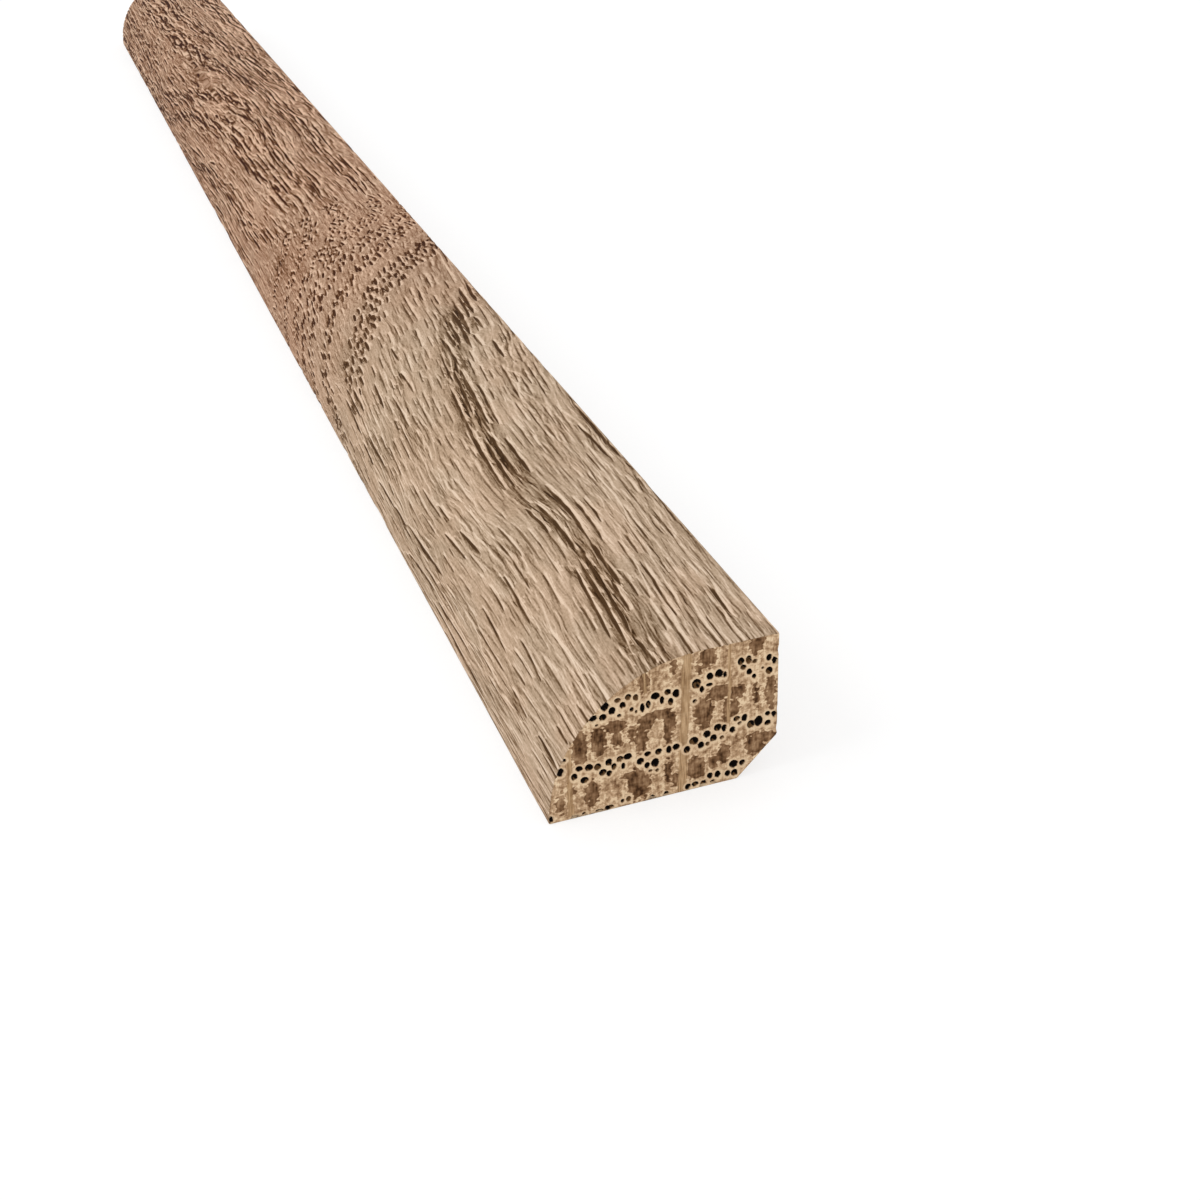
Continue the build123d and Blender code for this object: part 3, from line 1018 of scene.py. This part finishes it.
def brushed_face():
    """The long surfaces: pale stained oak with long ridges whose edges are painted light and shade, and dark
    grooves, each with a painted highlight on one lip and painted shade below it.

    The fibres' places are those of the UV map, taken back round the section by the drift.
    """
    finish, tree, shader = new_finish("brushed_face", 0.75, 0.06)
    grain = put(tree, "ShaderNodeUVMap", uv_map="grain").outputs[0]
    place = aside(tree, in_mm(tree, grain), read(tree, "drift"), "SUBTRACT")
    coordinate = put(tree, "ShaderNodeTexCoord").outputs["Object"]
    x = put(tree, "ShaderNodeSeparateXYZ", {0: coordinate}).outputs[0]

    def along_ramp(start, end, low_value=0.0, high_value=1.0):
        """A ramp along the strip, where start and end are millimetres from the near end."""
        return ramp(tree, x, (high[0] - start) * MM, (high[0] - end) * MM, low_value, high_value)

    far_share = along_ramp(62, 108)
    strength = along_ramp(110, 250, 1.0, 1.8)
    base = along_ramp(150, 200, 0.61, 0.55)
    wobble = streaks(tree, place, 1.5, 5.5, 1.0)
    bent = aside(tree, place, product(tree, centred(tree, wobble), 0.4))
    cloud = streaks(tree, place, 3.0, 15.0)
    streak = streaks(tree, bent, 0.55, 7.0)
    hair = streaks(tree, bent, 0.20, 1.8)
    grit = streaks(tree, place, 0.18, 0.34, 1.0)
    speck = streaks(tree, bent, 0.40, 1.3, 1.0)
    wide = use(tree, ridge, Place=bent, Across=0.85, Along=10.0)
    narrow = use(tree, ridge, Place=bent, Across=0.50, Along=4.2)
    wide_far = use(tree, ridge, Place=bent, Across=0.88, Along=13.5, Detail=1.0, Soft=0.045)
    narrow_far = use(tree, ridge, Place=bent, Across=0.50, Along=6.0, Detail=1.0, Soft=0.045)
    lit_flecks = use(tree, ridge, Place=bent, Across=0.45, Along=1.0, Soft=0.05)
    # Painted light and shade on the ridges' edges, and in the swirl on the flecks' edges: light on the side
    # that faces the arris, dark on the other
    edge_light = total(tree, 0.0, (wide["Lit"], 0.28), (narrow["Lit"], 0.22))
    edge_light_far = total(tree, 0.0, (wide_far["Lit"], 0.34), (narrow_far["Lit"], 0.30))
    edge_light = blend(tree, far_share, edge_light, product(tree, edge_light_far, strength))
    in_swirl = read(tree, "swirl")
    edge_light = product(
        tree, edge_light, ramp(tree, in_swirl, 0, 1, 1.0, 0.6), total(tree, 0.62, (read(tree, "gather"), 0.62)))
    edge_light = total(tree, edge_light, (product(tree, lit_flecks["Lit"], in_swirl), 0.22))
    texture = balanced(tree, 0.0, (cloud, 0.35), (streak, 0.20), (hair, 0.35), (grit, 0.30))
    specks = product(tree, centred(tree, speck), far_share)
    tone = total(tree, base, (texture, strength), (edge_light, 1.0), (specks, 0.40))
    arch = read(tree, "arch")
    dashes = use(tree, ridge, Place=place, Across=0.40, Along=2.2, Detail=0.0, Step=0.35, Soft=0.05)
    pits = product(tree, arch, maths(tree, "SUBTRACT", 1.0, dashes["Height"]))
    # Painted light and shade on the edges of the dashes in the arched bands; their low places are darker
    tone = total(tree, tone, (product(tree, dashes["Lit"], arch), 0.22), (pits, -0.26))
    line, lip_highlight, shade = groove_marks(tree, place)
    painted_light = total(tree, 0.0, (lip_highlight, 0.9), (edge_light, 1.2))
    stain_left_where_lit = ramp(tree, painted_light, 0.2, 0.8, 1.0, 0.4)  # less stain where light is painted on lips and ridge edges, so the painted highlights stay light
    stain = product(tree, read(tree, "stain"), ramp(tree, streak, 0.62, 0.40, 0.5, 1.0), stain_left_where_lit)
    tone = total(tree, tone, (stain, -0.54))
    # The painted highlight on each lip, stronger far along and in the swirl, and the painted shade below
    # each groove
    lip_highlight = product(tree, lip_highlight, ramp(tree, far_share, 0, 1, 0.30, 0.38), total(tree, 1.0, (in_swirl, 0.25)))
    tone = total(tree, tone, (lip_highlight, 1.0), (shade, -0.07))
    tone = blend(tree, line, tone, ramp(tree, far_share, 0, 1, 0.07, 0.02))
    colour = mix(tree, far_share, tones(tree, tone, near_tones), tones(tree, tone, far_tones))
    tint = ramp(tree, streaks(tree, place, 5.0, 11.0), 0.40, 0.60)
    colour = mix(tree, tint, colour, (1.02, 0.99, 0.975, 1), "MULTIPLY")
    height = total(tree, 0.0, (wide["Height"], 0.03), (hair, 0.03), (line, -0.05), (pits, -0.04))
    dress(tree, shader, colour, height)
    return finish


def end_grain():
    """The square-cut ends: knobbly cream wood with painted light and shade on its lumps, brown flames with
    scalloped edges and a painted highlight round them, rays, and pores in painted shade, near black,
    some with a painted lit crescent on the lower wall.
    """
    finish, tree, shader = new_finish("end_grain", 0.8, 0.08)
    coordinate = put(tree, "ShaderNodeTexCoord").outputs["Object"]
    parts = put(tree, "ShaderNodeSeparateXYZ", {0: coordinate}).outputs
    place = in_mm(tree, put(tree, "ShaderNodeCombineXYZ", {"X": parts[1], "Y": parts[2]}).outputs[0])
    lumps = put(
        tree, "ShaderNodeTexVoronoi", {"Vector": place, "Scale": 2.4, "Randomness": 1.0, "Smoothness": 0.8},
        voronoi_dimensions="2D", feature="SMOOTH_F1").outputs["Distance"]
    # Painted light and shade on the lumps: lighter at the top of each, darker towards its rim
    dome = ramp(tree, lumps, 0.62, 0.05)
    ragged = streaks(tree, place, 0.42, 0.38, 1.0)
    broad = streaks(tree, place, 0.9, 1.6)
    upright = streaks(tree, place, 0.22, 1.3)
    comb = streaks(tree, place, 0.45, 0.24, 0.0)
    crumb = streaks(tree, place, 0.16, 0.13, 1.0)
    fibres = streaks(tree, place, 0.10, 1.8, 1.0)
    rough = centred(tree, ragged)
    cream = balanced(
        tree, 0.715, (dome, 0.26), (broad, 0.75), (ragged, 0.6), (upright, 0.6), (crumb, 0.5))
    flame = total(
        tree, read(tree, "flame_depth"),
        (centred(tree, dome), -0.12), (rough, 0.45), (centred(tree, comb), 0.40))
    brown = balanced(tree, 0.26, (upright, 0.6), (broad, 0.8), (ragged, 0.5))
    # Painted highlight on the scalloped ridge round each flame
    border_highlight = product(tree, ramp(tree, flame, -0.26, -0.10), ramp(tree, flame, -0.01, -0.08))
    cream = total(tree, cream, (border_highlight, 0.15))
    tone = blend(tree, ramp(tree, flame, -0.04, 0.05), cream, brown)
    ray = total(tree, read(tree, "ray"), (rough, 0.20))
    pore = total(tree, read(tree, "pore"), (rough, 0.10))
    wall = product(tree, ramp(tree, pore, 0.30, 0.12), ramp(tree, pore, 0.0, 0.04))
    tone = blend(tree, product(tree, wall, 0.8), tone, 0.98)
    colour = tones(tree, tone, end_tones)
    in_ray = product(tree, ramp(tree, ray, 0.06, -0.05), maths(tree, "SUBTRACT", 1.0, wall))
    ray_tone = total(tree, -0.25, (fibres, 1.2), (broad, 0.4))
    colour = mix(tree, product(tree, in_ray, 0.9), colour, tones(tree, ray_tone, ray_tones))
    # Inside a pore: painted shade, near black, with a painted lit crescent on its lower wall where light
    # from above falls; a filled pore is brown all over
    own_shade = read(tree, "pore_shade")
    filled = ramp(tree, own_shade, 0.93, 0.98)
    rise = total(tree, read(tree, "pore_floor"), (ragged, 2.4), (own_shade, 0.9))
    lit_crescent = ramp(tree, rise, 2.2, 2.5)
    inside = mix(tree, lit_crescent, paint(12, 6, 3), paint(118, 86, 54))
    inside = mix(tree, product(tree, filled, 0.8), inside, paint(132, 100, 66))
    colour = mix(tree, ramp(tree, pore, 0.02, -0.03), colour, inside)
    height = total(tree, 0.0, (dome, 0.05), (ragged, 0.04), (flame, -0.05))
    dress(tree, shader, colour, height)
    return finish


strip = build_strip()
for finish in (brushed_face(), end_grain()):
    strip.data.materials.append(finish)
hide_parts("shoe_moulding")
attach(strip, "root")


# The studio
def white_to_the_eye(tree):
    """1 where the camera looks straight, by a mirror or through glass, and 0 for all other light."""
    path = put(tree, "ShaderNodeLightPath").outputs
    seen = maths(tree, "ADD", path["Is Camera Ray"], path["Is Glossy Ray"], clamp=True)
    return maths(tree, "ADD", seen, path["Is Transmission Ray"], clamp=True)


def lay_floor():
    """A level floor, pale enough to show only the strip's soft shadow."""
    half = 6.0
    mesh = bpy.data.meshes.new("floor")
    square = [(-half, -half, 0), (half, -half, 0), (half, half, 0), (-half, half, 0)]
    mesh.from_pydata(square, [], [(0, 1, 2, 3)])
    floor = in_scene("floor", mesh)
    finish, tree, shader = new_finish("studio_floor", 1.0, 0.0)
    eye = white_to_the_eye(tree)
    pale = (0.88, 0.88, 0.88, 1)  # in the light that the floor throws back on the strip
    grey = (0.36, 0.36, 0.36, 1)  # and as seen, where the glow makes up the rest
    glow = (0.69, 0.69, 0.69, 1)
    tree.links.new(mix(tree, eye, pale, grey), shader.inputs["Base Color"])
    tree.links.new(mix(tree, eye, (0, 0, 0, 1), glow), shader.inputs["Emission Color"])
    shader.inputs["Emission Strength"].default_value = 1.0
    mesh.materials.append(finish)


def light_studio():
    """Soft light from all round, with one large lamp from the left to bring out the relief."""
    world = bpy.data.worlds.new("studio")
    bpy.context.scene.world = world
    world.use_nodes = True
    tree = world.node_tree
    tree.nodes.clear()
    fill = 0.84
    strength = ramp(tree, white_to_the_eye(tree), 0, 1, fill, 1.0)
    background = put(tree, "ShaderNodeBackground", {"Color": (1, 1, 1, 1), "Strength": strength})
    put(tree, "ShaderNodeOutputWorld", {"Surface": background.outputs[0]})
    lamp = bpy.data.lights.new("soft_lamp", "AREA")
    lamp.energy = 2.6
    lamp.size = 0.5
    holder = in_scene("soft_lamp", lamp)
    holder.location = (0.1, -0.75, 0.75)
    aim = Vector((0.05, 0, 0)) - holder.location
    holder.rotation_euler = aim.to_track_quat("-Z", "Y").to_euler()


def set_camera():
    """The photograph's view: a 50 mm lens close to the near end, looking down along the strip."""
    place = Vector((0.25032, -0.037835, 0.07934))
    forward = Vector((-0.817396, 0.276550, -0.505355)).normalized()
    roll = math.radians(2.182)
    level = forward.cross(Vector((0, 0, 1))).normalized()
    right = (level * math.cos(roll) + forward.cross(level) * math.sin(roll)).normalized()
    up = right.cross(forward)
    turn = Matrix((right, up, -forward)).transposed()
    lens = bpy.data.cameras.new("camera")
    lens.sensor_width = 36.0
    lens.lens = 50.34
    lens.clip_start = 0.01
    camera = in_scene("camera", lens)
    camera.matrix_world = Matrix.Translation(place) @ turn.to_4x4()
    bpy.context.scene.camera = camera


lay_floor()
light_studio()
set_camera()
bpy.context.scene.view_settings.view_transform = "Standard"
